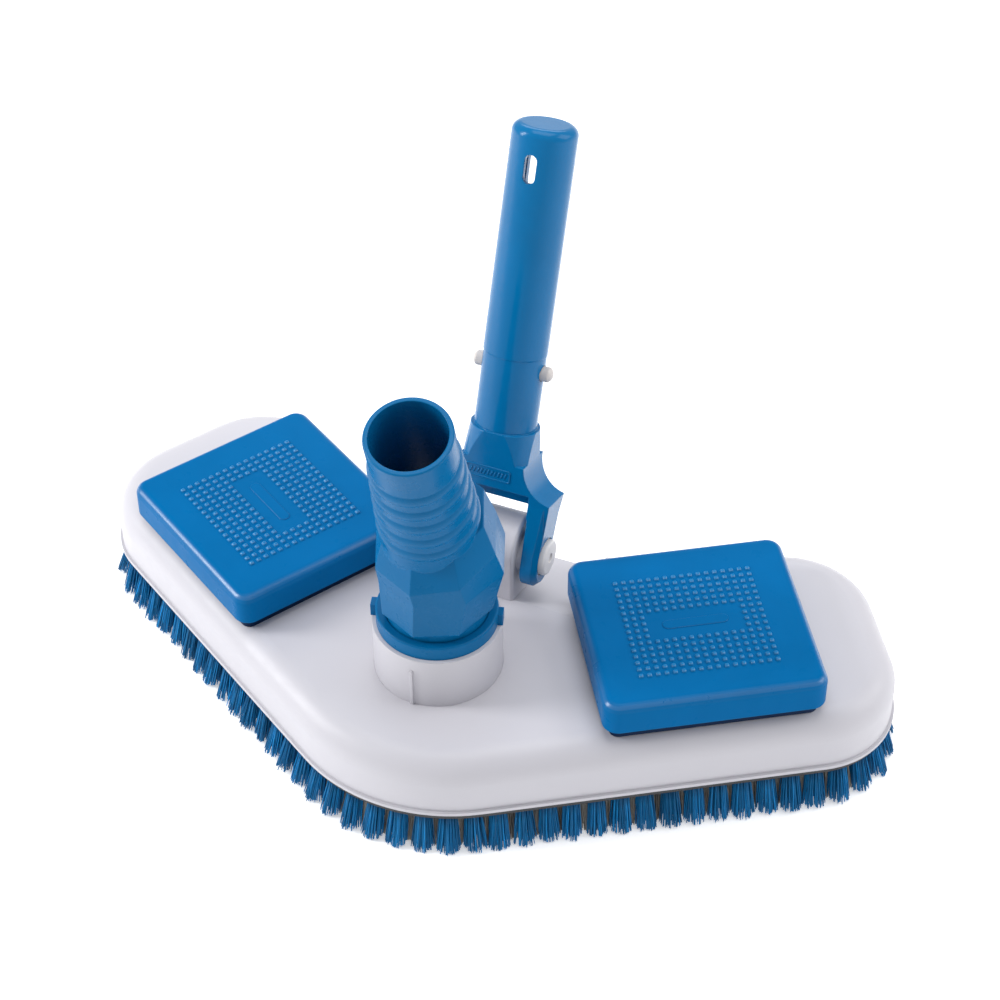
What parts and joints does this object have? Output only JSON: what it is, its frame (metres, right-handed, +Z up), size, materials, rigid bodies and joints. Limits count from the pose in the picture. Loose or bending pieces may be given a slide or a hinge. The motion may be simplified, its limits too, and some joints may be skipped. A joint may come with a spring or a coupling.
{
  "type": "pool vacuum brush head",
  "caption": "Chevron-shaped pool cleaning head with a ring of bristles, clip-on weights, a turning hose connector and a folding pole handle.",
  "frame": {"origin": "centre of the footprint, on the plane of the bristle tips", "axes": "+Z up, -Y towards the nose, +X along the wings to the right as seen from the nose with +Y away"},
  "size_m": [0.3838, 0.2034, 0.2571],
  "materials": {
    "shell_plastic": "gloss moulded",
    "frame_plastic": "moulded",
    "screw_steel": "stainless",
    "bristle": "nylon filament",
    "bristle_grey": "nylon filament",
    "cover_plastic": "gloss moulded",
    "tray_plastic": "moulded",
    "ballast_iron": "rough cast",
    "pin_plastic": "satin moulded",
    "ring_plastic": "gloss moulded",
    "seal_rubber": "moulded",
    "swivel_plastic": "gloss moulded",
    "handle_plastic": "gloss moulded",
    "spring_steel": "spring strip",
    "button_plastic": "satin moulded"
  },
  "bodies": {
    "head": {"body_shell": "shell_plastic", "shell_collar": "shell_plastic", "handle_bracket": "shell_plastic", "bristle_frame": "frame_plastic", "frame_screws": "screw_steel", "bristles_nose": "bristle", "bristles_front_left": "bristle", "bristles_front_right": "bristle", "bristles_end_left": "bristle", "bristles_end_right": "bristle", "bristles_rear_left": "bristle", "bristles_rear_right": "bristle", "bristles_rear_centre": "bristle", "bristles_inner": "bristle_grey", "weight_cover_left": "cover_plastic", "weight_tray_left": "tray_plastic", "ballast_left": "ballast_iron", "cover_screws_left": "screw_steel", "pivot_pin_left": "pin_plastic", "weight_cover_right": "cover_plastic", "weight_tray_right": "tray_plastic", "ballast_right": "ballast_iron", "cover_screws_right": "screw_steel", "pivot_pin_right": "pin_plastic", "collar_ring": "ring_plastic", "swivel_seal": "seal_rubber"},
    "swivel": {"hose_swivel": "swivel_plastic"},
    "handle": {"pole_handle": "handle_plastic", "clip_spring": "spring_steel"},
    "button_left": {"snap_button_left": "button_plastic"},
    "button_right": {"snap_button_right": "button_plastic"}
  },
  "joints": [
    {"name": "swivel_spin", "type": "hinge", "parent": "head", "child": "swivel", "pos_m": [0, -0.0352, 0.08], "axis": [0, 0, 1], "continuous": true},
    {"name": "handle_pivot", "type": "hinge", "parent": "head", "child": "handle", "pos_m": [0, 0.0233, 0.0715], "axis": [1, 0, 0], "range_deg": [-75, 20]},
    {"name": "button_left_press", "type": "slide", "parent": "handle", "child": "button_left", "axis": [1, 0, 0], "range_m": [0, 0.0042], "stiffness_N_per_m": 1500, "springref_m": -0.001, "deforming": ["clip_spring"]},
    {"name": "button_right_press", "type": "slide", "parent": "handle", "child": "button_right", "axis": [-1, 0, 0], "range_m": [0, 0.0042], "stiffness_N_per_m": 1500, "springref_m": -0.001, "deforming": ["clip_spring"]}
  ]
}
